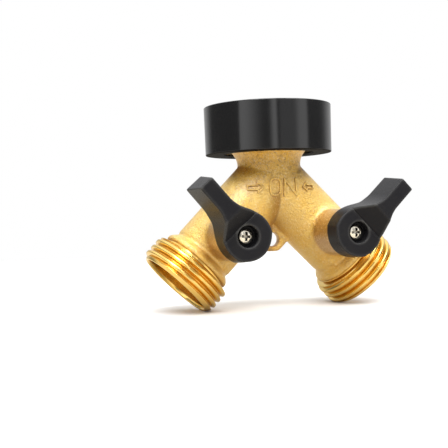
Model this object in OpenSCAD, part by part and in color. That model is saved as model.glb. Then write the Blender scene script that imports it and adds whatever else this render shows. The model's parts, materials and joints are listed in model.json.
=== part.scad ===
// Two-way garden hose splitter: a cast brass Y with a swivel inlet collar and a
// quarter-turn ball valve in each outlet leg.
// Origin: on the inlet axis, at the first crest of the inlet thread.
// +Z points up out of the inlet, +X to the right outlet, and the levers face -Y.

/* [Inlet collar] */
// Radius of the plastic collar at its upper edge
collar_top_r = 20.2; // [20:0.1:21]
// Radius of the plastic collar at its lower edge
collar_bottom_r = 20; // [19.6:0.1:20.6]
// Height that the collar's rim stands above the first thread crest
collar_rim = 0.6; // [0.4:0.1:1]
// Ribs that key the brass insert into the collar
rib_count = 8; // [4:1:12]

/* [Body] */
// Angle between each outlet leg and the vertical
leg_angle = 45; // [44:0.5:46]
// Outer radius of an outlet leg
leg_r = 10; // [9.9:0.1:10.4]
// Distance from the fork point to the end of an outlet
leg_len = 45.3; // [45.3:0.1:46]
// Drop from the first inlet thread crest to the fork point
fork_drop = 22.5; // [22:0.1:23.5]
// Inner radius of an outlet's mouth
mouth_r = 11.2; // [10.8:0.1:11.3]

/* [Valves] */
// Distance from the fork point to a valve's stem axis, along the leg
stem_at = 24.65; // [24.4:0.05:24.9]
// Radius of a valve ball
ball_r = 7.8; // [7.7:0.05:7.8]
// Radius of the water way through a ball
ball_bore_r = 4.5; // [4:0.1:4.6]
// Distance from the leg's axis to the top of the stem boss
boss_top = 20.3; // [20:0.1:20.4]
// How far the left lever is turned open from square to its leg
left_turn = 4.5; // [-1.5:0.5:90]
// How far the right lever is turned open from square to its leg
right_turn = -1.5; // [-1.5:0.5:90]

/* [Levers] */
// Radius of the lever's hub at its front face
hub_front_r = 7.1; // [6.9:0.1:7.2]
// Radius of the lever's hub at its back face
hub_back_r = 7.6; // [7.4:0.1:7.7]
// Reach of the lever's arm from its turning axis
arm_reach = 20.9; // [19:0.1:20.9]
// Half the width of the lever's arm
arm_half_w = 2.8; // [2.4:0.1:3]
// Radius of the recess around the lever screw
recess_r = 3.2; // [3:0.1:3.3]

/* [Hanging tab] */
// Thickness of the tab between the legs
tab_t = 2.8; // [2:0.1:4]
// Radius of the hole in the tab
tab_hole_r = 2.25; // [2:0.05:2.3]

/* [Hidden] */
$fn = 96;
eps = 0.02;       // clearance between pieces that are pressed or moulded together
running = 0.08;   // radial clearance of a part that turns in another
through = 20;     // longer than anything that a cut passes through

// 3/4 inch garden hose thread, 11.5 to the inch, 60 degree flanks
pitch = 25.4 / 11.5;
crest_land = 0.4;
male_crest_r = 13.49;
male_root_r = 12.06;
female_crest_r = 12.25;
female_root_r = 13.65;
flank = tan(30);
male_ridges = 3;
female_ridges = 4;

// Inlet stack, heights from the first thread crest
insert_r = 15;
insert_relief_r = 12.6;
rib_w = 2;
rib_h = 0.8;
rib_root = 1;
lip_top = -12;
lip_bottom = -13.1;
collar_bottom = -14.5;
collar_edge = 0.35;
recess_under_r = 14.3;
stub_r = 9.8;
stub_top = -10.4;
inlet_bore_r = 7.5;
groove_r = 8.9;
groove_top = -11;
groove_bottom = -11.9;
ring_r = 11.2;
ring_t = 0.8;
ring_gap = 5;
washer_r = 11.9;
washer_bore_r = 7.7;
washer_t = 2.6;
flare_top = -13.4;
flare_r = 11.8;
flare_edge = 0.3;
flare_edge_h = 0.8;
waist_r = 10.25;
waist_drop = 4.1;
waist_end_drop = 2;
neck_foot_r = 8.5;
neck_foot_drop = 8;
inlet_bore_drop = 3;

// Outlet leg, distances along the leg from the fork point
lip_start = 33;
lip_end = 36.5;
lip_r = 11.5;
thread_groove_r = 11.3;
first_crest = 38.6;
end_land_r = 12.35;
end_land = 1.2;
end_chamfer = 0.3;
passage_r = 5.2;
chamber_r = ball_r + 0.3;
seat_far = 8.2;
seat_near = 4.6;
seat_bore_r = 5;
retainer_bore_r = 5.2;
retainer_len = 4.4;
spanner_slot_w = 2;
spanner_slot_d = 1.2;
mouth_depth = 6.8;
mouth_chamfer = 0.4;

// Stem and boss, distances from the leg's axis
boss_r = 7.1;
boss_from = 5;
stem_r = 3.32;
flange_r = 4.35;
flange_from = ball_r - 0.45;
flange_to = flange_from + 1.55;
thrust_t = 0.5;
blade_w = 2.6;
blade_len = 6.4;
blade_from = ball_r - 2.3;
slot_floor = ball_r - 2.5;
slot_spare = 0.05;
ball_flat = ball_r - 0.65;
o_ring_at = [12, 16];
o_ring_h = 1.5;
o_ring_groove_h = 1.6;
o_ring_groove_r = 2.4;
drive_w = 4.4;
drive_from = boss_top + 0.3;
drive_to = 22.3;
screw_hole_r = 1;
screw_hole_floor = 17.8;
lug_r = 0.9;
lug_at = 5.3;
lug_h = 1.6;
lug_angle = 225;

// Lever, distances from the leg's axis
hub_back = boss_top + 0.4;
hub_front = 27;
hub_floor = 23.5;
arm_back = 19.4;
arm_front_inner = 31.1;
arm_front_tip = 30.6;
arm_root_share = 0.9;
arm_root_spare = 2;
arm_back_from = 4;
slope_from = 3.5;
slope_to = 8;
tip_lean = 0.7;
flare_fillet = 8;
stop_inner_r = lug_at - lug_r - 0.3;
stop_outer_r = lug_at + lug_r + 0.3;
stop_spare = 12;
closed_stop = -1.5;
open_stop = 90;

// Lever screw
screw_head_r = 1.9;
screw_head_h = 1.2;
screw_wall_h = 0.72;
screw_top_r = 1.33;
screw_end_gap = 0.4;
screw_shank_r = 0.97;
lock_washer_r = 1.8;
lock_washer_t = 0.45;
lock_washer_slit = 0.6;
cross_w = 0.6;
cross_len = 2.4;
cross_d = 0.8;

// Hanging tab, distances below the fork point
tab_foot = 22.9;
tab_foot_half_w = 1.5;
tab_slope = 5;
tab_top = 12;
tab_hole_drop = 19.1;

// The arm's side fillet touches both the hub and the arm's straight side
fillet_x = sqrt(pow(hub_front_r + flare_fillet, 2) - pow(arm_half_w + flare_fillet, 2));

// ---- placing ----

// The right side is drawn and the left side is its mirror image
module on_side(side) {
    if (side == "left") mirror([1, 0, 0]) children();
    else children();
}

// Local +Z runs from the fork point out along the leg
module along_leg(side) {
    on_side(side) translate([0, 0, -fork_drop]) rotate([0, 180 - leg_angle, 0]) children();
}

// Local +Z runs out along the stem, +X along the closed lever, +Y back up the leg
module at_valve(side) {
    along_leg(side) translate([0, 0, stem_at]) rotate([0, -180, 0]) rotate([90, 0, 0]) children();
}

// The same place, turned with the lever as it rests
module in_valve(side) {
    at_valve(side) rotate([0, 0, side == "left" ? left_turn : right_turn]) children();
}

module tube(outer_r, inner_r, from, to) {
    difference() {
        translate([0, 0, from]) cylinder(h = to - from, r = outer_r);
        translate([0, 0, from - 1]) cylinder(h = to - from + 2, r = inner_r);
    }
}

// ---- the brass body ----

function male_ridge(z) = let (reach = crest_land / 2 + (male_crest_r - male_root_r) * flank) [
    [male_root_r, z - reach],
    [male_crest_r, z - crest_land / 2],
    [male_crest_r, z + crest_land / 2],
    [male_root_r, z + reach]
];

function outlet_profile() = concat(
    [[chamber_r, lip_start], [leg_r, lip_start]],
    [for (turn = [30 : 15 : 90])
        [leg_r + (lip_r - leg_r) * sin(turn), lip_end - (lip_end - lip_start) * cos(turn)]],
    [[thread_groove_r, lip_end + 0.1], [thread_groove_r, first_crest - 1.3]],
    [for (ridge = [0 : male_ridges - 1], point = male_ridge(first_crest + ridge * pitch)) point],
    [
        [end_land_r, leg_len - end_land],
        [end_land_r, leg_len - end_chamfer],
        [end_land_r - end_chamfer, leg_len],
        [mouth_r + mouth_chamfer, leg_len],
        [mouth_r, leg_len - mouth_chamfer],
        [mouth_r, leg_len - mouth_depth],
        [chamber_r, leg_len - mouth_depth]
    ]
);

module neck() {
    waist_z = -fork_drop + waist_drop;
    rotate_extrude() polygon([
        [0, -fork_drop - neck_foot_drop], [neck_foot_r, -fork_drop - neck_foot_drop],
        [waist_r, -fork_drop - waist_end_drop], [waist_r, waist_z],
        [flare_r - flare_edge, flare_top - flare_edge_h], [flare_r, flare_top],
        [stub_r, flare_top], [stub_r, groove_bottom], [groove_r, groove_bottom],
        [groove_r, groove_top], [stub_r, groove_top], [stub_r, stub_top], [0, stub_top]
    ]);
}

module hanging_tab() {
    shoulder = tab_foot_half_w + tab_slope;
    translate([0, tab_t / 2, -fork_drop]) rotate([90, 0, 0]) linear_extrude(tab_t) polygon([
        [-tab_foot_half_w, -tab_foot], [tab_foot_half_w, -tab_foot],
        [shoulder, -tab_foot + tab_slope], [0, -tab_top], [-shoulder, -tab_foot + tab_slope]
    ]);
}

module leg_bores(side) {
    along_leg(side) {
        cylinder(h = stem_at, r = passage_r);
        translate([0, 0, stem_at - seat_far]) cylinder(h = leg_len, r = chamber_r);
    }
    at_valve(side) {
        cylinder(h = flange_to + thrust_t + running, r = flange_r + running);
        cylinder(h = boss_top + 1, r = stem_r + running);
    }
}

module brass_body() color("goldenrod") {
    difference() {
        union() {
            neck();
            hanging_tab();
            for (side = ["left", "right"]) {
                along_leg(side) cylinder(h = lip_start, r = leg_r);
                at_valve(side) {
                    translate([0, 0, boss_from]) cylinder(h = boss_top - boss_from, r = boss_r);
                    rotate([0, 0, lug_angle]) translate([lug_at, 0, boss_top - 1])
                        cylinder(h = lug_h + 1, r = lug_r);
                }
            }
        }
        translate([0, 0, -fork_drop - inlet_bore_drop]) cylinder(h = fork_drop, r = inlet_bore_r);
        for (side = ["left", "right"]) leg_bores(side);
        translate([0, tab_t, -fork_drop - tab_hole_drop]) rotate([90, 0, 0])
            cylinder(h = 2 * tab_t, r = tab_hole_r);
    }
}

// The lip, thread and mouth at the end of a leg, of one metal with the body
module outlet_end(side) color("gold") along_leg(side) rotate_extrude() polygon(outlet_profile());

// ---- the swivel inlet ----

module ribs(spare) {
    for (rib = [0 : rib_count - 1]) rotate([0, 0, rib * 360 / rib_count])
        translate([insert_r - rib_root, -rib_w / 2 - spare, lip_bottom + rib_root - spare])
            cube([
                rib_h + rib_root + spare,
                rib_w + 2 * spare,
                -lip_bottom - 2 * rib_root + 2 * spare
            ]);
}

module swivel_collar() color("#1c1c1e") {
    difference() {
        rotate_extrude() polygon([
            [recess_under_r, collar_bottom],
            [collar_bottom_r - collar_edge, collar_bottom],
            [collar_bottom_r, collar_bottom + collar_edge],
            [collar_top_r, collar_rim - collar_edge],
            [collar_top_r - collar_edge, collar_rim],
            [insert_r + eps, collar_rim],
            [insert_r + eps, lip_bottom],
            [recess_under_r, lip_bottom]
        ]);
        ribs(eps);
    }
}

function female_thread() = [
    for (ridge = [0 : female_ridges - 2])
        let (z = -ridge * pitch, run = (female_root_r - female_crest_r) * flank)
            each [
                [female_crest_r, z],
                [female_crest_r, z - crest_land],
                [female_root_r, z - crest_land - run],
                [female_root_r, z - pitch + run]
            ]
];

module collar_thread_insert() color("darkgoldenrod") {
    last = -(female_ridges - 1) * pitch;
    rotate_extrude() polygon(concat(female_thread(), [
        [female_crest_r, last], [female_crest_r, last - crest_land],
        [insert_relief_r, last - 2 * crest_land], [insert_relief_r, lip_top],
        [stub_r + running, lip_top], [stub_r + running, lip_bottom],
        [insert_r, lip_bottom], [insert_r, 0]
    ]));
    ribs(0);
}

module collar_retaining_ring() color("silver") {
    middle = (groove_top + groove_bottom) / 2;
    difference() {
        tube(ring_r, groove_r + 2 * eps, middle - ring_t / 2, middle + ring_t / 2);
        translate([0, -ring_gap / 2, groove_bottom - 1]) cube([through, ring_gap, through]);
    }
}

module inlet_washer() color("#26262a") {
    tube(washer_r, washer_bore_r, stub_top, stub_top + washer_t);
}

// ---- one quarter-turn valve ----

module arm_plan() {
    difference() {
        polygon([
            [0, -hub_front_r * arm_root_share],
            [fillet_x, -arm_half_w - arm_root_spare], [fillet_x, -arm_half_w],
            [arm_reach, -arm_half_w], [arm_reach, arm_half_w],
            [fillet_x, arm_half_w], [fillet_x, arm_half_w + arm_root_spare],
            [0, hub_front_r * arm_root_share]
        ]);
        for (flip = [-1, 1]) translate([fillet_x, flip * (arm_half_w + flare_fillet)])
            circle(r = flare_fillet);
    }
}

module arm_side() {
    polygon([
        [slope_from, hub_front], [slope_to, arm_front_inner],
        [arm_reach - tip_lean, arm_front_tip], [arm_reach, arm_back],
        [hub_back_r + arm_back_from, arm_back], [hub_back_r, hub_back], [0, hub_back],
        [0, hub_front]
    ]);
}

module lever(side) color("#202022") in_valve(side) {
    difference() {
        union() {
            translate([0, 0, hub_back])
                cylinder(h = hub_front - hub_back, r1 = hub_back_r, r2 = hub_front_r);
            intersection() {
                translate([0, 0, arm_back - 1]) linear_extrude(through) arm_plan();
                translate([0, through / 2, 0]) rotate([90, 0, 0]) linear_extrude(through) arm_side();
            }
        }
        translate([0, 0, hub_floor]) cylinder(h = through, r = recess_r);
        translate([0, 0, hub_back - 1]) cylinder(h = through, r = screw_hole_r + running);
        translate([-drive_w / 2 - eps, -drive_w / 2 - eps, hub_back - 1])
            cube([drive_w + 2 * eps, drive_w + 2 * eps, drive_to + 0.1 - hub_back + 1]);
        rotate([0, 0, lug_angle - open_stop - stop_spare])
            rotate_extrude(angle = open_stop - closed_stop + 2 * stop_spare)
                translate([stop_inner_r, hub_back - 1])
                    square([stop_outer_r - stop_inner_r, lug_h + 1]);
    }
}

module lever_screw(side) color("gainsboro") in_valve(side) {
    head_from = hub_floor + lock_washer_t;
    difference() {
        union() {
            translate([0, 0, head_from]) cylinder(h = screw_wall_h, r = screw_head_r);
            translate([0, 0, head_from + screw_wall_h])
                cylinder(h = screw_head_h - screw_wall_h, r1 = screw_head_r, r2 = screw_top_r);
            translate([0, 0, screw_hole_floor + screw_end_gap])
                cylinder(h = head_from - screw_hole_floor, r = screw_shank_r);
        }
        for (turn = [0, 90]) rotate([0, 0, turn])
            translate([-cross_len / 2, -cross_w / 2, head_from + screw_head_h - cross_d])
                cube([cross_len, cross_w, through]);
    }
}

module lock_washer(side) color("silver") in_valve(side) {
    difference() {
        tube(lock_washer_r, screw_shank_r + 2 * running, hub_floor, hub_floor + lock_washer_t);
        translate([0, -lock_washer_slit / 2, hub_floor - 1])
            cube([through, lock_washer_slit, through]);
    }
}

module stem(side) color("peru") in_valve(side) {
    difference() {
        union() {
            translate([-blade_w / 2, -blade_len / 2, blade_from])
                cube([blade_w, blade_len, flange_from - blade_from + 0.5]);
            translate([0, 0, flange_from]) cylinder(h = flange_to - flange_from, r = flange_r);
            translate([0, 0, flange_from + 0.5])
                cylinder(h = drive_from - flange_from - 0.5, r = stem_r);
            translate([-drive_w / 2, -drive_w / 2, drive_from - 0.5])
                cube([drive_w, drive_w, drive_to - drive_from + 0.5]);
        }
        for (z = o_ring_at) tube(stem_r + 1, o_ring_groove_r, z, z + o_ring_groove_h);
        translate([0, 0, screw_hole_floor]) cylinder(h = through, r = screw_hole_r);
    }
}

module stem_o_rings(side) color("#303034") in_valve(side) {
    spare = (o_ring_groove_h - o_ring_h) / 2;
    for (z = o_ring_at) tube(stem_r + 0.04, o_ring_groove_r + eps, z + spare, z + spare + o_ring_h);
}

module thrust_washer(side) color("ivory") in_valve(side) {
    tube(flange_r, stem_r + eps, flange_to, flange_to + thrust_t);
}

module ball(side) color("lightgray") in_valve(side) {
    difference() {
        sphere(r = ball_r);
        translate([-through / 2, 0, 0]) rotate([0, 90, 0]) cylinder(h = through, r = ball_bore_r);
        translate([-ball_r, -ball_r, ball_flat]) cube([2 * ball_r, 2 * ball_r, through]);
        translate([-blade_w / 2 - slot_spare, -through / 2, slot_floor])
            cube([blade_w + 2 * slot_spare, through, through]);
    }
}

// A seat faces the ball from the inlet side (turn = -1) or the outlet side (turn = 1)
module seat(side, turn) color("white") along_leg(side) translate([0, 0, stem_at]) {
    mirror([0, 0, turn < 0 ? 1 : 0]) difference() {
        tube(chamber_r - eps, seat_bore_r, seat_near, seat_far);
        sphere(r = ball_r + running);
    }
}

module seat_retainer(side) color("darkgoldenrod") along_leg(side) {
    from = stem_at + seat_far;
    difference() {
        tube(chamber_r - eps, retainer_bore_r, from, from + retainer_len);
        for (turn = [0, 90]) rotate([0, 0, turn])
            translate([-chamber_r, -spanner_slot_w / 2, from + retainer_len - spanner_slot_d])
                cube([2 * chamber_r, spanner_slot_w, through]);
    }
}

brass_body();
outlet_end("left");  // left_outlet_end
outlet_end("right");  // right_outlet_end
swivel_collar();
collar_thread_insert();
collar_retaining_ring();
inlet_washer();
lever("left");  // left_lever
lever_screw("left");  // left_lever_screw
lock_washer("left");  // left_lock_washer
stem("left");  // left_stem
stem_o_rings("left");  // left_stem_o_rings
thrust_washer("left");  // left_thrust_washer
ball("left");  // left_ball
seat("left", -1);  // left_inner_seat
seat("left", 1);  // left_outer_seat
seat_retainer("left");  // left_seat_retainer
lever("right");  // right_lever
lever_screw("right");  // right_lever_screw
lock_washer("right");  // right_lock_washer
stem("right");  // right_stem
stem_o_rings("right");  // right_stem_o_rings
thrust_washer("right");  // right_thrust_washer
ball("right");  // right_ball
seat("right", -1);  // right_inner_seat
seat("right", 1);  // right_outer_seat
seat_retainer("right");  // right_seat_retainer
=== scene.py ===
# Two-way garden hose splitter: a sand-blasted brass Y, a black swivel collar on the inlet,
# and a quarter-turn lever valve on each leg. One section for each piece, in the order in
# which the splitter is put together. Piece sizes are in millimetres from the fork point,
# where the two legs' axes meet, and turn into metres as each mesh is made.
import json
import math

import bpy
import numpy as np
from mathutils import Matrix, Vector


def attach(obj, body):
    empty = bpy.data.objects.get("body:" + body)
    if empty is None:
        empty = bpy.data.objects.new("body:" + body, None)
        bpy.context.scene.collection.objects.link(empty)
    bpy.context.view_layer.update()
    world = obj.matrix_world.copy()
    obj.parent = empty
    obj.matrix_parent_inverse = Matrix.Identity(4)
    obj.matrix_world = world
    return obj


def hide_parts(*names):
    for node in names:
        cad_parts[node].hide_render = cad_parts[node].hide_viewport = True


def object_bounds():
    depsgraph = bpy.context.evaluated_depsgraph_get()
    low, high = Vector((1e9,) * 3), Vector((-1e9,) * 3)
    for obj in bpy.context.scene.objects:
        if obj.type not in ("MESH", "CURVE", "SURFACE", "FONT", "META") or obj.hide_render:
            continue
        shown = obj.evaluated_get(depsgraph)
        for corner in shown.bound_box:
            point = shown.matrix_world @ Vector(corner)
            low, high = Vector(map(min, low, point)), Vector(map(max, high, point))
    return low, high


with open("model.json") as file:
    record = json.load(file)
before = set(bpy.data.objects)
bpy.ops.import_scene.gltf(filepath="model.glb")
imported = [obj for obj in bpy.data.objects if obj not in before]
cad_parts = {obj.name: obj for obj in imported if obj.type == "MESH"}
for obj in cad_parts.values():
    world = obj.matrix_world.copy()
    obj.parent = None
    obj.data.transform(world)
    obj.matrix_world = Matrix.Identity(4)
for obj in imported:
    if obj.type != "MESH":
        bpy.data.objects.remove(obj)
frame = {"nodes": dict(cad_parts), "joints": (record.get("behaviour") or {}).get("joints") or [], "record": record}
cad_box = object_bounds()
mounts = {mount["name"]: mount for mount in frame["record"]["mounts"]}

# ---- Camera and studio ----
# A long lens stands to the left of the lever side, level with the fork. The part stands on
# a pale floor in a white room, between upright soft lights that draw bands on the collar.
outlet = mounts["right_outlet"]
outlet_run = outlet["pos_m"][0] / outlet["axis"][0]
FORK = Vector((0, 0, outlet["pos_m"][2] - outlet_run * outlet["axis"][2]))
MM = 0.001


class Wire:
    """A shader value: arithmetic on it adds Math nodes."""

    def __init__(self, sheet, socket):
        self.sheet = sheet
        self.socket = socket

    def math(self, operation, *others, first=None):
        values = (self, *others) if first is None else (first, self)
        return self.sheet.add("ShaderNodeMath", {"operation": operation}, dict(enumerate(values)))

    def __add__(self, other):
        return self.math("ADD", other)

    def __sub__(self, other):
        return self.math("SUBTRACT", other)

    def __mul__(self, other):
        return self.math("MULTIPLY", other)

    def __truediv__(self, other):
        return self.math("DIVIDE", other)

    def __rsub__(self, other):
        return self.math("SUBTRACT", first=other)

    def __rtruediv__(self, other):
        return self.math("DIVIDE", first=other)

    __radd__ = __add__
    __rmul__ = __mul__


class Sheet:
    """One node tree. add() makes any node from its type, its settings and its sockets."""

    def __init__(self, tree):
        self.tree = tree
        tree.nodes.clear()

    def add(self, kind, settings=None, sockets=None, output=0):
        node = self.tree.nodes.new(kind)
        for key, value in (settings or {}).items():
            if key == "stops":
                self.set_stops(node.color_ramp, value)
            else:
                setattr(node, key, value)
        for key, value in (sockets or {}).items():
            if isinstance(value, Wire):
                self.tree.links.new(value.socket, node.inputs[key])
            else:
                node.inputs[key].default_value = value
        return Wire(self, node.outputs[output]) if node.outputs else node

    def set_stops(self, ramp, stops):
        while len(ramp.elements) < len(stops):
            ramp.elements.new(1)
        for element, (place, colour) in zip(ramp.elements, stops):
            element.position = place
            element.color = (*colour, 1)

    def mix(self, factor, low, high):
        sockets = {0: factor, 6: low, 7: high}
        return self.add("ShaderNodeMix", {"data_type": "RGBA"}, sockets, output=2)

    def ramp(self, value, low, high, start=0.0, end=1.0):
        sockets = {"Value": value, 1: low, 2: high, 3: start, 4: end}
        return self.add("ShaderNodeMapRange", {"interpolation_type": "SMOOTHSTEP"}, sockets)


def set_up_camera():
    stand = Vector((-100.4, -254.8, -12.4)) * MM + FORK
    yaw, pitch, roll = 0.321, -0.005, -0.033
    ahead = Vector((math.sin(yaw) * math.cos(pitch), math.cos(yaw) * math.cos(pitch), math.sin(pitch)))
    level = Vector((math.cos(yaw), -math.sin(yaw), 0))
    upright = level.cross(ahead)
    right = math.cos(roll) * level + math.sin(roll) * upright
    up = math.cos(roll) * upright - math.sin(roll) * level
    lens = bpy.data.cameras.new("camera")
    lens.sensor_width = 36
    lens.lens = 68.87
    lens.clip_start = 0.01
    camera = bpy.data.objects.new("camera", lens)
    bpy.context.scene.collection.objects.link(camera)
    turn = Matrix((right, up, -ahead)).transposed().to_4x4()
    camera.matrix_world = Matrix.Translation(stand) @ turn
    bpy.context.scene.camera = camera


def set_up_room():
    world = bpy.data.worlds.new("studio")
    bpy.context.scene.world = world
    world.use_nodes = True
    sheet = Sheet(world.node_tree)
    way = sheet.add("ShaderNodeTexCoord", output="Generated")
    apart = {axis: sheet.add("ShaderNodeSeparateXYZ", None, {0: way}, output=axis) for axis in "XYZ"}
    turn = apart["X"].math("ARCTAN2", apart["Y"] * -1) * (180 / math.pi)

    def panel(rise_from, rise_to, fall_from, fall_to):
        return sheet.ramp(turn, rise_from, rise_to) * (1 - sheet.ramp(turn, fall_from, fall_to))

    # Bearings in degrees, from straight in front of the levers and positive to the right
    left_box = panel(-74, -71, -66, -24)
    front_strip = panel(-20, -8, -7, -2)
    right_box = panel(26, 40, 51, 58)
    dim_right = panel(-1, 3, 50, 58)
    back_wall = sheet.ramp(turn, 84, 120) + sheet.ramp(turn * -1, 138, 165)
    ceiling = sheet.ramp(apart["Z"], 0.3, 0.75)
    walls = left_box * 1.5 + front_strip * 1.6 + right_box * 0.9 + dim_right * 0.4 + back_wall * 0.55
    glow = (walls + 0.15) * (1 - ceiling) + ceiling * 1.3
    # A plain white ground behind the part, whatever lights it
    seen = sheet.add("ShaderNodeLightPath", output="Is Camera Ray")
    glow = glow * (1 - seen) + seen
    light = sheet.add("ShaderNodeBackground", None, {"Color": (1, 1, 1, 1), "Strength": glow})
    sheet.add("ShaderNodeOutputWorld", None, {"Surface": light})


def set_up_key_light():
    for name, place, size, power in (
        ("key", (-130, -240, 350), 260, 1.7),
        ("top_light", (150, -170, 380), 300, 1.7),
    ):
        lamp = bpy.data.lights.new(name, "AREA")
        lamp.size = size * MM
        lamp.energy = power
        body = bpy.data.objects.new(name, lamp)
        body.location = Vector(place) * MM + FORK
        body.rotation_euler = (FORK - body.location).to_track_quat("-Z", "Y").to_euler()
        bpy.context.scene.collection.objects.link(body)


def set_up_floor():
    low = cad_box[0][2]
    reach = 0.45
    sides = 128
    mesh = bpy.data.meshes.new("floor")
    bearings = [2 * math.pi * side / sides for side in range(sides)]
    corners = [(reach * math.cos(b), reach * math.sin(b), low) for b in bearings]
    mesh.from_pydata(corners, [], [range(sides)])
    floor = bpy.data.objects.new("floor", mesh)
    bpy.context.scene.collection.objects.link(floor)
    paint = bpy.data.materials.new("floor_paint")
    paint.use_nodes = True
    sheet = Sheet(paint.node_tree)
    spot = sheet.add("ShaderNodeTexCoord", output="Object")
    grain = sheet.add("ShaderNodeTexNoise", None, {"Vector": spot, "Scale": 6.0})
    # It throws up less light than its pale look would, so that the underside stays warm
    seen = sheet.add("ShaderNodeLightPath", output="Is Camera Ray")
    colour = sheet.mix(grain, (0.90, 0.90, 0.90, 1), (0.93, 0.93, 0.93, 1))
    colour = sheet.mix(seen, (0.56, 0.52, 0.45, 1), colour)
    surface = sheet.add("ShaderNodeBsdfPrincipled", None, {"Base Color": colour, "Roughness": 0.9})
    sheet.add("ShaderNodeOutputMaterial", None, {"Surface": surface})
    mesh.materials.append(paint)


bpy.context.scene.view_settings.view_transform = "Standard"
set_up_camera()
set_up_room()
set_up_key_light()
set_up_floor()

# ---- Brass body ----
# One sand casting: a short neck, two legs at 45 degrees, a stem boss on the front of each,
# and a hanging tab in the fork. It is blasted to a fine grain, and its bores are machined.
HALF = math.sqrt(0.5)
LEG_R = 10.0
LIP = {"start": 33.0, "end": 36.25, "r": 11.55}
STUB = {"r": 9.8, "top": 12.1, "groove_r": 8.9, "groove_at": 11.05}
STEM_AT = 24.65
BOSS_R = 7.1
BOSS_TOP = 20.3
STOP_TRACK_R = 5.3
TAB = {"bottom": -22.9, "half_width": 2.1, "half_thick": 1.4, "hole_at": -19.1, "hole_r": 2.25}
WAY_IN_R = 7.5
PASSAGE_R = 5.2
CHAMBER_R = 8.1
FLANGE_SEAT = {"r": 4.45, "depth": 9.5}
STEM_HOLE_R = 3.4
MARKS = {"middle": -2.85, "height": 0.45, "root": 0.5, "half_letter": 0.36, "half_arrow": 0.25}


def soft_union(one, other, blend):
    share = np.clip(0.5 + 0.5 * (other - one) / blend, 0, 1)
    return other + (one - other) * share - blend * share * (1 - share)


def soft_both(one, other, blend):
    return -soft_union(-one, -other, blend)


def soft_cut(one, hole, blend=0.3):
    return soft_both(one, -hole, blend)


def smooth(value, low, high):
    t = np.clip((value - low) / (high - low), 0, 1)
    return t * t * (3 - 2 * t)


def down_leg(x, z):
    """Distance along the right leg and distance off its axis, in the plane of the fork."""
    return (x - z) * HALF, (x + z) * HALF


def leg_shape(x, y, z):
    along, off = down_leg(x, z)
    swell = smooth(along, LIP["start"] - 0.2, LIP["end"] - 0.9) * (LIP["r"] - LEG_R)
    swell = swell - 0.3 * np.exp(-((along - LIP["start"] + 0.2) / 0.7) ** 2)
    side = np.hypot(off, y) - LEG_R - swell
    ends = np.maximum(-1 - along, along - LIP["end"])
    return soft_both(side, ends, 0.7)


def neck_shape(x, y, z):
    waist = 4.7
    rise = np.clip(z - waist, 0, None)
    fall = np.clip(-z, 0, None)
    radius = LEG_R + 1.57 * (rise / 3.8) ** 2 - 0.035 * fall ** 2
    flare = soft_both(np.hypot(x, y) - np.minimum(radius, 11.8), np.maximum(z - 9.1, -7 - z), 0.4)
    stub = np.maximum(np.hypot(x, y) - STUB["r"], np.maximum(z - STUB["top"], 5 - z))
    groove = np.maximum(STUB["groove_r"] - np.hypot(x, y), np.abs(z - STUB["groove_at"]) - 0.45)
    return np.minimum(flare, np.maximum(stub, -groove))


def boss_shape(x, y, z):
    radius = np.hypot(np.abs(x) - STEM_AT * HALF, z + STEM_AT * HALF)
    return soft_both(radius - BOSS_R, np.maximum(-y - BOSS_TOP, y + 4), 0.5)


def stop_lug(x, y, z):
    """The post on the boss that the lever's stops meet, on the side away from the closed arm."""
    side = np.abs(x) - STEM_AT * HALF
    height = z + STEM_AT * HALF + STOP_TRACK_R
    return np.maximum(np.hypot(side, height) - 0.9, np.maximum(-y - BOSS_TOP - 1.6, y + BOSS_TOP - 2))


def tab_shape(x, y, z):
    rise = z - TAB["bottom"]
    slope = (np.abs(x) - TAB["half_width"] - rise) * HALF
    outline = soft_both(soft_both(slope, -rise, 0.8), z + 12, 0.3)
    hole = np.hypot(x, z - TAB["hole_at"]) - TAB["hole_r"]
    return soft_cut(soft_both(outline, np.abs(y) - TAB["half_thick"], 0.7), hole, 0.5)


def stroke(x, z, start, end):
    """Distance from a straight line drawn between two points of the lettering."""
    run = (end[0] - start[0], end[1] - start[1])
    share = ((x - start[0]) * run[0] + (z - start[1]) * run[1]) / (run[0] ** 2 + run[1] ** 2)
    share = np.clip(share, 0, 1)
    return np.hypot(x - start[0] - share * run[0], z - start[1] - share * run[1])


def outlined(x, z, corners):
    ends = corners[1:] + corners[:1]
    return np.minimum.reduce([stroke(x, z, start, end) for start, end in zip(corners, ends)])


def arrow(tip_x, tail_x, head, half_head, half_shaft):
    """Corners of an arrow drawn in outline, from its tail to its tip."""
    neck_x = tip_x + math.copysign(head, tail_x - tip_x)
    upper = [(tail_x, half_shaft), (neck_x, half_shaft), (neck_x, half_head)]
    lower = [(x, -z) for x, z in reversed(upper)]
    return [(x, z + MARKS["middle"]) for x, z in upper + [(tip_x, 0)] + lower]


def raised_marks(x, z):
    """Distance outside the strokes of the word and the arrows that show which way opens it."""
    round_x = np.abs(x + 1.95) - 0.25
    round_z = np.abs(z - MARKS["middle"]) - 1.15
    letter_o = np.abs(np.hypot(np.clip(round_x, 0, None), np.clip(round_z, 0, None)) - 1.45)
    letter_n = np.minimum.reduce([
        stroke(x, z, (1.15, -5.5), (1.15, -0.4)),
        stroke(x, z, (1.15, -0.4), (5.0, -5.5)),
        stroke(x, z, (5.0, -5.5), (5.0, -0.4)),
    ])
    arrows = np.minimum(
        outlined(x, z, arrow(-5.9, -10.6, 1.7, 1.6, 0.65)),
        outlined(x, z, arrow(7.4, 11.4, 1.5, 1.3, 0.5)),
    )
    letters = np.minimum(letter_o, letter_n)
    return np.minimum(letters - MARKS["half_letter"], arrows - MARKS["half_arrow"])


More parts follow.
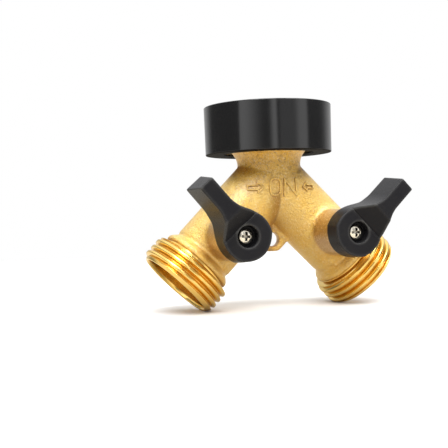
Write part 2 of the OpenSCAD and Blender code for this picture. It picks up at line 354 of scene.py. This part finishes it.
def body_bores(x, y, z):
    along, off = down_leg(np.abs(x), z)
    round_leg = np.hypot(off, y)
    round_stem = np.hypot(np.abs(x) - STEM_AT * HALF, z + STEM_AT * HALF)
    way_in = np.maximum(np.hypot(x, y) - WAY_IN_R, -3 - z)
    passage = np.maximum(round_leg - PASSAGE_R, np.maximum(-along, along - STEM_AT))
    chamber = np.maximum(round_leg - CHAMBER_R, STEM_AT - 8.2 - along)
    flange_seat = np.maximum(round_stem - FLANGE_SEAT["r"], np.maximum(-y - FLANGE_SEAT["depth"], y))
    stem_hole = np.maximum(round_stem - STEM_HOLE_R, y)
    return np.minimum.reduce([way_in, passage, chamber, flange_seat, stem_hole])


def cast_outside(x, y, z):
    """The casting before its bores are machined."""
    shape = soft_union(leg_shape(x, y, z), leg_shape(-x, y, z), 0.6)
    shape = soft_union(shape, neck_shape(x, y, z), 0.3)
    shape = soft_union(shape, boss_shape(x, y, z), 2.6)
    shape = soft_union(shape, tab_shape(x, y, z), 1.2)
    return np.minimum(shape, stop_lug(x, y, z))


def cast_body(x, y, z):
    return soft_cut(cast_outside(x, y, z), body_bores(x, y, z), 0.3)


def cast_marks(x, y, z):
    """Rounded ribbons that stand proud of the casting and are rooted a little way into it."""
    skin = cast_outside(x, y, z)
    proud = soft_both(skin - MARKS["height"], raised_marks(x, z), 0.3)
    return soft_both(proud, -MARKS["root"] - skin, 0.2)


def skin_over(shape, low, high, step):
    """Points and quads of the surface where shape(x, y, z) is zero, inside a box."""
    axes = [np.arange(a, b + step, step) for a, b in zip(low, high)]
    values = shape(*np.meshgrid(*axes, indexing="ij"))
    solid = values < 0
    corners = [(i, j, k) for i in (0, 1) for j in (0, 1) for k in (0, 1)]
    size = [n - 1 for n in values.shape]

    def at(grid, corner):
        return grid[tuple(slice(c, c + n) for c, n in zip(corner, size))]

    count = sum(at(solid, corner).astype(np.int8) for corner in corners)
    active = (count > 0) & (count < 8)
    number = np.full(size, -1)
    number[active] = np.arange(active.sum())
    cell = np.argwhere(active)
    total = np.zeros((len(cell), 3))
    hits = np.zeros(len(cell))
    for axis in range(3):
        for corner in corners:
            if corner[axis]:
                continue
            far = tuple(c + (a == axis) for a, c in enumerate(corner))
            near_value, far_value = at(values, corner)[active], at(values, far)[active]
            crossed = (near_value < 0) != (far_value < 0)
            share = near_value[crossed] / (near_value[crossed] - far_value[crossed])
            place = np.tile(np.array(corner, float), (crossed.sum(), 1))
            place[:, axis] += share
            total[crossed] += place
            hits[crossed] += 1
    points = np.array(low) + (cell + total / hits[:, None]) * step
    quads = []
    for axis in range(3):
        one, two = [a for a in range(3) if a != axis]
        edge = [slice(1, n) for n in size]
        edge[axis] = slice(0, size[axis])
        past = list(edge)
        past[axis] = slice(1, size[axis] + 1)
        before, after = solid[tuple(edge)], solid[tuple(past)]
        crossing = np.argwhere(before != after)
        leaving = before[tuple(crossing.T)]
        spot = crossing + 1
        spot[:, axis] -= 1
        ring = []
        for back_one, back_two in ((1, 1), (0, 1), (0, 0), (1, 0)):
            around = spot.copy()
            around[:, one] -= back_one
            around[:, two] -= back_two
            ring.append(number[tuple(around.T)])
        quad = np.array(ring).T
        flip = leaving if axis == 1 else ~leaving
        quad[flip] = quad[flip][:, ::-1]
        quads.append(quad)
    return settle(shape, points, step), np.concatenate(quads)


def settle(shape, points, step):
    """Moves each point onto the surface, by no more than half a step."""
    start = points.copy()
    small = step * 0.1
    for _ in range(3):
        value = shape(*points.T)
        slope = np.array([
            (shape(*(points + side).T) - shape(*(points - side).T)) / (2 * small)
            for side in np.eye(3) * small
        ]).T
        steep = np.clip((slope ** 2).sum(1), 0.3, None)
        points = points - slope * (value / steep)[:, None]
        points = start + np.clip(points - start, -step * 0.5, step * 0.5)
    return points


def mesh_piece(name, points, faces, material, place=None):
    """A smooth piece from points in millimetres; place moves them into the splitter's frame."""
    place = place or Matrix.Translation(FORK)
    turn = np.array(place.to_3x3())
    spots = np.asarray(points) * MM @ turn.T + np.array(place.translation)
    faces = np.asarray(faces)
    if place.determinant() < 0:
        faces = faces[:, ::-1]
    mesh = bpy.data.meshes.new(name)
    mesh.vertices.add(len(spots))
    mesh.vertices.foreach_set("co", spots.ravel())
    mesh.loops.add(faces.size)
    mesh.loops.foreach_set("vertex_index", faces.ravel().astype(np.int32))
    mesh.polygons.add(len(faces))
    mesh.polygons.foreach_set("loop_start", np.arange(0, faces.size, 4, dtype=np.int32))
    mesh.polygons.foreach_set("use_smooth", np.ones(len(faces), bool))
    mesh.update(calc_edges=True)
    mesh.validate()
    mesh.materials.append(material)
    piece = bpy.data.objects.new(name, mesh)
    bpy.context.scene.collection.objects.link(piece)
    return piece


def new_finish(name):
    """A material's sheet, and the point on the piece in metres that its patterns follow."""
    material = bpy.data.materials.new(name)
    material.use_nodes = True
    sheet = Sheet(material.node_tree)
    return material, sheet, sheet.add("ShaderNodeTexCoord", output="Object")


def noise(sheet, spot, grain_mm, detail=3.0, rough=0.55):
    sockets = {"Vector": spot, "Scale": 1 / (grain_mm * MM), "Detail": detail, "Roughness": rough}
    return sheet.add("ShaderNodeTexNoise", None, sockets)


def bump(sheet, height, depth_mm, strength=1.0):
    sockets = {"Height": height, "Distance": depth_mm * MM, "Strength": strength}
    return sheet.add("ShaderNodeBump", None, sockets)


def crevice(sheet, reach_mm, low, high, inside=False):
    """Rises from 0 in the open to 1 deep in a corner, from ambient occlusion; mixed into a colour
    it paints shade there. With inside it rises on the outer edges instead, where it paints a highlight."""
    settings = {"samples": 6, "inside": inside}
    light = sheet.add("ShaderNodeAmbientOcclusion", settings, {"Distance": reach_mm * MM}, output="AO")
    return 1 - sheet.ramp(light, low, high)


def finish_with(sheet, sockets):
    surface = sheet.add("ShaderNodeBsdfPrincipled", None, sockets)
    sheet.add("ShaderNodeOutputMaterial", None, {"Surface": surface})


def blasted_brass():
    material, sheet, spot = new_finish("blasted_brass")
    across, out, height = (sheet.add("ShaderNodeSeparateXYZ", None, {0: spot}, output=a) for a in "XYZ")
    # Painted shade: the neck a deeper orange, the colour of brass in the shade under the collar,
    # and dark brown on the sides of the bosses and in the fold between the legs, where shade falls
    neck = sheet.ramp(height, FORK.z - 4 * MM, FORK.z + 4 * MM)
    stem_x = across.math("ABSOLUTE") - STEM_AT * HALF * MM
    stem_z = height - (FORK.z - STEM_AT * HALF * MM)
    from_stem = (stem_x * stem_x + stem_z * stem_z).math("SQRT")
    boss_side_shade = (1 - sheet.ramp(from_stem, 7.2 * MM, 8.4 * MM)) * sheet.ramp(out * -1, 9 * MM, 11 * MM)
    valley_shade = sheet.ramp(across, -5.5 * MM, -1.2 * MM) * (1 - sheet.ramp(across, -0.3 * MM, 0.6 * MM))
    valley_shade = valley_shade * (1 - sheet.ramp(height, FORK.z - 7 * MM, FORK.z - 3.5 * MM))
    patches = sheet.ramp(noise(sheet, spot, 5.0, 4.0), 0.35, 0.7)
    specks = sheet.ramp(noise(sheet, spot, 0.9, 3.0, 0.7), 0.48, 0.68)
    grain = noise(sheet, spot, 0.6, 3.0, 0.75)
    sparks = sheet.ramp(grain, 0.5, 0.68)
    colour = sheet.mix(patches, (0.89, 0.61, 0.14, 1), (0.85, 0.53, 0.08, 1))
    # Painted shade on the neck, on the boss sides and between the legs
    colour = sheet.mix(neck * 0.8, colour, (0.88, 0.53, 0.04, 1))
    colour = sheet.mix(boss_side_shade * 0.85, colour, (0.40, 0.20, 0.025, 1))
    colour = sheet.mix(valley_shade * 0.85, colour, (0.45, 0.235, 0.025, 1))
    colour = sheet.mix(specks * (0.25 + neck * 0.55), colour, (0.55, 0.30, 0.03, 1))
    colour = sheet.mix(sparks * (0.6 + neck * 0.3), colour, (0.97, 0.78, 0.40, 1))
    # Painted shade: darker brown in corners and under the collar, read from occlusion, with some tarnish in the
    # hollows
    colour = sheet.mix(crevice(sheet, 10.0, 0.3, 0.85) * 0.8, colour, (0.40, 0.18, 0.02, 1))
    finish_with(sheet, {
        "Base Color": colour,
        "Metallic": 1.0,
        "Roughness": 0.38 + grain * 0.14 + specks * 0.06,
        "Normal": bump(sheet, grain + specks * -0.3, 0.45),
        "Coat Weight": 0.9,
        "Coat Roughness": 0.45,
        "Coat IOR": 1.8,
    })
    return material


BLASTED = blasted_brass()
cast_skin = skin_over(cast_body, (-35, -22.4, -35), (35, 12.6, 13), 0.395)
marks_skin = skin_over(cast_marks, (-12, -13, -6.6), (12.4, -2, 0.6), 0.12)
cast = mesh_piece("cast_brass_body", *cast_skin, BLASTED)
marks = mesh_piece("cast_word_and_arrows", *marks_skin, BLASTED)
for piece in (cast, marks):
    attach(piece, "splitter_body")
    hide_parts("brass_body")

# ---- Outlet threads ----
# The same brass below each leg's lip, turned bright on a lathe: a groove, three turns of
# right-hand hose thread with a chamfered end, and the mouth that a hose washer seals on.
PITCH = 25.4 / 11.5
TURN_STEPS = 320


def sweep_round(loop, steps=TURN_STEPS):
    """Closes a loop of (radius, height) columns round an axis: radii may differ with the angle."""
    angles = np.arange(steps) * (2 * math.pi / steps)
    points = np.zeros((len(loop), steps, 3))
    for row, (radius, height) in enumerate(loop):
        ring = (radius * np.cos(angles), radius * np.sin(angles), height)
        points[row] = np.stack(np.broadcast_arrays(*ring), -1)
    rows = np.arange(len(loop))[:, None]
    cols = np.arange(steps)[None, :]
    next_row, next_col = (rows + 1) % len(loop), (cols + 1) % steps
    corners = [(rows, cols), (rows, next_col), (next_row, next_col), (next_row, cols)]
    quads = np.stack([r * steps + c + 0 * rows * cols for r, c in corners], -1)
    return points.reshape(-1, 3), quads.reshape(-1, 4)


def tooth(offset):
    """Height of the thread from 0 to 1, at a distance in millimetres from the middle of its crest."""
    from_root = np.hypot(PITCH / 2 - np.abs(offset), 0.16) - 0.16
    return 1 - (1 - np.clip(from_root / 0.72, 0, 1)) ** 1.7


def helix_offset(height, first_crest):
    angles = np.arange(TURN_STEPS) / TURN_STEPS
    turns = (height - first_crest) / PITCH - angles
    return (turns - np.round(turns)) * PITCH


def outlet_loop():
    """The groove, the thread, the rim and the bored mouth, from the lip and back inside to it."""
    root, crest, end = 12.06, 13.49, 45.3
    loop = []
    for height in np.arange(36.1, end - 0.25, 0.1):
        radius = root + (crest - root) * tooth(helix_offset(height, 38.8))
        start = 10.7 + np.clip(height - 36.85, 0, None) * 5
        finish = 12.3 + (end - 0.35 - height) * 0.9
        loop.append((np.minimum(radius, np.minimum(start, finish)), height))
    rim = [(12.12, end - 0.12), (12.0, end), (11.75, end), (11.55, end - 0.1), (11.25, end - 0.45)]
    step = [(11.2, 38.7), (11.1, 38.52), (10.9, 38.5), (8.4, 38.5), (8.22, 38.44), (8.12, 38.3)]
    return loop + rim + [(11.2, h) for h in (44, 42, 40)] + step + [(8.12, 36.1)]


def turned_brass():
    material, sheet, spot = new_finish("turned_brass")
    streaks = noise(sheet, spot, 1.6, 4.0)
    fine = noise(sheet, spot, 0.15, 3.0, 0.7)
    colour = sheet.mix(streaks, (0.96, 0.71, 0.27, 1), (0.90, 0.58, 0.12, 1))
    # Painted shade: brown deep in the thread roots and the groove
    colour = sheet.mix(crevice(sheet, 1.2, 0.05, 0.75) * 0.75, colour, (0.60, 0.28, 0.02, 1))
    finish_with(sheet, {
        "Base Color": colour,
        "Metallic": 1.0,
        "Roughness": 0.16 + fine * 0.08,
        "Normal": bump(sheet, streaks, 0.012),
    })
    return material


TURNED = turned_brass()


def leg_place(side):
    """Puts a piece drawn along +Z from the fork point onto the right leg, or mirrors it left."""
    turn = Matrix.Rotation(math.radians(135), 4, "Y")
    mirror = Matrix.Diagonal((side, 1, 1, 1))
    return Matrix.Translation(FORK) @ mirror @ turn


for name, side in (("left", -1), ("right", 1)):
    unmirrored = Matrix.Translation(FORK) @ Matrix.Rotation(math.radians(135 * side), 4, "Y")
    thread = mesh_piece(f"{name}_outlet_thread", *sweep_round(outlet_loop()), TURNED, unmirrored)
    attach(thread, "splitter_body")
    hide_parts(f"{name}_outlet_end")

# ---- Swivel collar ----
# A thick ring of smooth black plastic that the user turns to screw the splitter onto a tap.
# It tapers slightly to its lower edge and has a recess round the neck underneath.


def rounded(corners, radius, steps=5):
    """The closed outline through the corners, each of them rounded by an arc."""
    outline = []
    count = len(corners)
    for i, corner in enumerate(corners):
        here = np.array(corner, float)
        ways = [np.array(corners[(i + d) % count], float) - here for d in (-1, 1)]
        lengths = [np.hypot(*way) for way in ways]
        cut = min(radius, 0.4 * min(lengths))
        before, after = (here + way / length * cut for way, length in zip(ways, lengths))
        for t in np.linspace(0, 1, steps):
            outline.append((1 - t) ** 2 * before + 2 * t * (1 - t) * here + t ** 2 * after)
    return [tuple(point) for point in outline]


def collar_outline():
    bottom, top = 8.0, 23.1
    return rounded([
        (14.3, bottom), (20.0, bottom), (20.19, top), (15.9, top), (15.9, top - 0.7),
        (15.85, 10.3), (15.02, 10.2), (15.02, 9.4), (14.3, 9.4),
    ], 0.3)


def smooth_black_plastic():
    material, sheet, spot = new_finish("smooth_black_plastic")
    cloud = noise(sheet, spot, 7.0, 3.0)
    haze = noise(sheet, spot, 0.8, 4.0, 0.6)
    colour = sheet.mix(cloud, (0.006, 0.006, 0.0065, 1), (0.009, 0.009, 0.0095, 1))
    polished, matt = (sheet.add("ShaderNodeBsdfPrincipled", None, {
        "Base Color": colour,
        "Roughness": roughness + haze * 0.05 + cloud * 0.03,
        "Normal": bump(sheet, haze, 0.004),
        "Specular IOR Level": shine,
    }, output="BSDF") for roughness, shine in ((0.09, 0.55), (0.6, 0.03)))
    height = sheet.add("ShaderNodeSeparateXYZ", None, {0: spot}, output="Z")
    wall = sheet.ramp(height, FORK.z + 8.1 * MM, FORK.z + 8.3 * MM)
    surface = sheet.add("ShaderNodeMixShader", None, {0: wall, 1: matt, 2: polished})
    sheet.add("ShaderNodeOutputMaterial", None, {"Surface": surface})
    return material


SMOOTH_PLASTIC = smooth_black_plastic()
collar = mesh_piece("swivel_collar_shell", *sweep_round(collar_outline(), 288), SMOOTH_PLASTIC)
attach(collar, "inlet_collar")
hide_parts("swivel_collar")

# ---- Collar thread insert ----
# A turned brass ring moulded into the collar, with the female hose thread inside and a
# lip at the bottom that hooks under the split ring on the neck.


def insert_loop():
    root, crest, top = 13.65, 12.25, 22.5
    bore = []
    for height in np.arange(top - 0.3, 15.2, -0.12):
        thread = tooth(helix_offset(height, top - 0.2)) * smooth(height, 15.3, 15.9)
        lead_in = crest + np.clip(height - (top - 0.9), 0, None) * 1.2
        bore.append((np.maximum(root - (root - crest) * thread, lead_in), height))
    base = [(12.7, 15.0), (12.6, 14.8), (12.6, 10.6), (12.45, 10.5)]
    lip = [(9.95, 10.5), (9.88, 10.42), (9.88, 9.48)]
    outside = [(9.95, 9.41), (14.7, 9.4), (15.0, 9.6), (15.0, 10.2), (15.8, 10.4), (15.8, top - 0.25)]
    return bore + base + lip + outside + [(15.6, top), (13.9, top)]


insert = mesh_piece("collar_insert_ring", *sweep_round(insert_loop()), TURNED)
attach(insert, "inlet_collar")
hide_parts("collar_thread_insert")

# ---- Levers ----
# One moulding in black grained plastic for each valve: a round hub on the stem, and an arm
# that stands proud of the hub's face beyond a sloping step, flaring into the hub's sides.
HUB = {"back": 20.7, "front": 27.0, "back_r": 7.6, "front_r": 7.1}
RECESS = {"r": 3.2, "floor": 23.5}
DRIVE = {"half": 2.22, "top": 22.4}
SCREW_WAY_R = 1.1
ARM = {"reach": 20.9, "back": 19.4, "front": 31.1, "tip_front": 30.6, "slope_from": 3.5, "slope_to": 8.0}


def lever_plan(u, v, w):
    """Distance outside the lever seen from the front: hub and arm joined by a wide flare."""
    depth = (w - ARM["back"]) / (ARM["front"] - ARM["back"])
    hub_r = HUB["back_r"] + (HUB["front_r"] - HUB["back_r"]) * np.clip((w - HUB["back"]) / 6.3, 0, 1.6)
    half_arm = 3.05 - 0.75 * depth
    arm = np.abs(v) - half_arm
    behind = -u
    return soft_union(np.hypot(u, v) - hub_r, np.maximum(arm, behind), 6.5)


def lever_front(u):
    low, high = HUB["front"], ARM["front"]
    sunk = low - 0.4
    slope = sunk + (u - ARM["slope_from"]) * (high - sunk) / (ARM["slope_to"] - ARM["slope_from"])
    fall = (ARM["tip_front"] - high) / (ARM["reach"] - ARM["slope_to"])
    raised = soft_union(slope, high + fall * (u - ARM["slope_to"]), 0.15)
    return np.where(u < ARM["slope_from"], low, raised)


def lever_shape(u, v, w):
    plan = lever_plan(u, v, w)
    steep = np.where((u > ARM["slope_from"]) & (u < ARM["slope_to"]), 0.75, 1.0)
    front = (w - lever_front(u)) * steep
    back = HUB["back"] - (HUB["back"] - ARM["back"]) * smooth(u, 7.9, 11.5) - w
    lean = 0.7 * (w - ARM["back"]) / (ARM["front"] - ARM["back"])
    tip = u - (ARM["reach"] - lean)
    shape = soft_both(soft_both(plan, front, 0.5), soft_both(back, tip, 0.5), 0.5)
    recess = np.maximum(np.hypot(u, v) - RECESS["r"], RECESS["floor"] - w)
    screw_way = np.hypot(u, v) - SCREW_WAY_R
    drive = np.maximum(np.maximum(np.abs(u), np.abs(v)) - DRIVE["half"], w - DRIVE["top"])
    spread = np.arctan2(v, -u)
    stops = np.maximum(np.abs(np.hypot(u, v) - STOP_TRACK_R) - 1.2, w - 22.3)
    stops = np.maximum(stops, (np.abs(spread) - math.radians(57)) * STOP_TRACK_R)
    hollow = np.minimum.reduce([screw_way, drive, stops])
    return soft_cut(np.maximum(shape, -hollow), recess, 0.35)


def grained_black_plastic():
    material, sheet, spot = new_finish("grained_black_plastic")
    spark = noise(sheet, spot, 0.28, 4.0, 0.7)
    patch = noise(sheet, spot, 4.0, 3.0)
    scuffs = sheet.ramp(noise(sheet, spot, 1.1, 5.0, 0.75), 0.58, 0.75)
    # Painted highlight along the outer edges, together with some rubbed wear
    edges = crevice(sheet, 0.9, 0.5, 0.93, inside=True)
    colour = sheet.mix(patch, (0.008, 0.008, 0.011, 1), (0.015, 0.0145, 0.015, 1))
    colour = sheet.mix(scuffs * 0.3, colour, (0.05, 0.049, 0.046, 1))
    colour = sheet.mix(edges * 0.55, colour, (0.14, 0.14, 0.135, 1))
    finish_with(sheet, {
        "Base Color": colour,
        "Roughness": 0.24 + spark * 0.12 + scuffs * 0.05,
        "Normal": bump(sheet, spark + scuffs * 0.4, 0.04),
        "Specular IOR Level": 0.11,
    })
    return material


GRAINED_PLASTIC = grained_black_plastic()


def valve_place(name, side):
    """Local +Z runs out along the stem and +X along the arm, as far open as it stands at rest.
    Fully open is square to the closed lever, so the joint's upper limit gives the rest angle."""
    joint = next(joint for joint in frame["joints"] if joint["child"] == f"{name}_valve")
    rest = Matrix.Rotation(math.radians(90 - joint["range_deg"][1]), 4, "Z")
    stand = Matrix.Rotation(math.pi, 4, "Y") @ Matrix.Rotation(math.pi / 2, 4, "X")
    return leg_place(side) @ Matrix.Translation((0, 0, STEM_AT * MM)) @ stand @ rest


lever_skin = skin_over(lever_shape, (-8.6, -8.6, 18.8), (21.8, 8.6, 32), 0.22)
for name, side in (("left", -1), ("right", 1)):
    lever = mesh_piece(f"{name}_lever_moulding", *lever_skin, GRAINED_PLASTIC, valve_place(name, side))
    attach(lever, f"{name}_valve")
    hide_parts(f"{name}_lever")

# ---- Lever screws ----
# A small nickel-plated pan head screw with a cross recess holds each lever on its stem.
HEAD = {"from": 23.95, "r": 2.2, "h": 1.3}


def screw_shape(u, v, w):
    radius = np.hypot(u, v)
    up = w - HEAD["from"]
    dome = np.sqrt(radius ** 2 + (up + 3.4) ** 2) - (HEAD["h"] + 3.4)
    head = soft_both(soft_both(radius - HEAD["r"], dome, 0.25), -up, 0.15)
    shank = np.maximum(radius - 0.97, np.maximum(18.2 - w, w - HEAD["from"] - 0.2))
    turned_u, turned_v = (u + v) * HALF, (u - v) * HALF
    depth = HEAD["h"] - up
    arms = [
        np.maximum(np.abs(a) - 0.34 + depth * 0.05, np.abs(b) - 1.5 + depth * 0.6)
        for a, b in ((turned_u, turned_v), (turned_v, turned_u))
    ]
    cross = np.maximum(np.minimum(*arms), 0.2 - up)
    centre = np.maximum(radius - 0.62 + depth * 0.35, 0.2 - up)
    return np.minimum(soft_cut(head, np.minimum(cross, centre), 0.1), shank)


def nickel_plate():
    material, sheet, spot = new_finish("nickel_plate")
    wear = noise(sheet, spot, 0.5, 4.0, 0.7)
    colour = sheet.mix(wear, (0.86, 0.82, 0.72, 1), (0.70, 0.64, 0.52, 1))
    # Painted shade: near black in the cross recess and the head's corners
    colour = sheet.mix(crevice(sheet, 0.9, 0.35, 0.9), colour, (0.03, 0.025, 0.02, 1))
    finish_with(sheet, {
        "Base Color": colour,
        "Metallic": 1.0,
        "Roughness": 0.12 + wear * 0.12,
        "Normal": bump(sheet, wear, 0.01),
    })
    return material


NICKEL = nickel_plate()
screw_skin = skin_over(screw_shape, (-2.35, -2.35, 18), (2.35, 2.35, 25.5), 0.075)
for name, side in (("left", -1), ("right", 1)):
    screw = mesh_piece(f"{name}_pan_head_screw", *screw_skin, NICKEL, valve_place(name, side))
    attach(screw, f"{name}_valve")
    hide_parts(f"{name}_lever_screw")

# ---- Inlet washer and the pieces inside ----
# A black rubber washer in the inlet, the spring ring below it, and in each leg a plated
# ball between white seats, a brass retainer behind them, and the stem with its seals.


def black_rubber():
    material, sheet, spot = new_finish("black_rubber")
    bloom = noise(sheet, spot, 1.2, 4.0, 0.6)
    colour = sheet.mix(bloom, (0.018, 0.018, 0.018, 1), (0.034, 0.034, 0.033, 1))
    finish_with(sheet, {
        "Base Color": colour,
        "Roughness": 0.55 + bloom * 0.2,
        "Normal": bump(sheet, bloom, 0.03),
    })
    return material


def white_seat():
    material, sheet, spot = new_finish("white_fluoropolymer")
    cloud = noise(sheet, spot, 1.5, 3.0)
    colour = sheet.mix(cloud, (0.80, 0.80, 0.77, 1), (0.88, 0.88, 0.86, 1))
    finish_with(sheet, {
        "Base Color": colour,
        "Roughness": 0.32 + cloud * 0.12,
        "Normal": bump(sheet, cloud, 0.01),
    })
    return material


def bright_metal(name, light, dark, roughness):
    material, sheet, spot = new_finish(name)
    marks = noise(sheet, spot, 0.6, 4.0, 0.65)
    finish_with(sheet, {
        "Base Color": sheet.mix(marks, (*light, 1), (*dark, 1)),
        "Metallic": 1.0,
        "Roughness": roughness + marks * 0.08,
        "Normal": bump(sheet, marks, 0.005),
    })
    return material


RUBBER = black_rubber()
SEAT = white_seat()
CHROME = bright_metal("chrome_plate", (0.78, 0.79, 0.81), (0.70, 0.71, 0.73), 0.04)
SPRING_STEEL = bright_metal("spring_steel", (0.56, 0.56, 0.57), (0.45, 0.45, 0.47), 0.2)
INNER_FINISH = {
    "lock_washer": SPRING_STEEL,
    "stem": TURNED,
    "stem_o_rings": RUBBER,
    "thrust_washer": SEAT,
    "ball": CHROME,
    "inner_seat": SEAT,
    "outer_seat": SEAT,
    "seat_retainer": TURNED,
}
finishes = {"inlet_washer": RUBBER, "collar_retaining_ring": SPRING_STEEL}
for side in ("left", "right"):
    finishes.update({f"{side}_{piece}": finish for piece, finish in INNER_FINISH.items()})
for node, finish in finishes.items():
    slots = frame["nodes"][node].material_slots
    for slot in slots:
        slot.material = finish
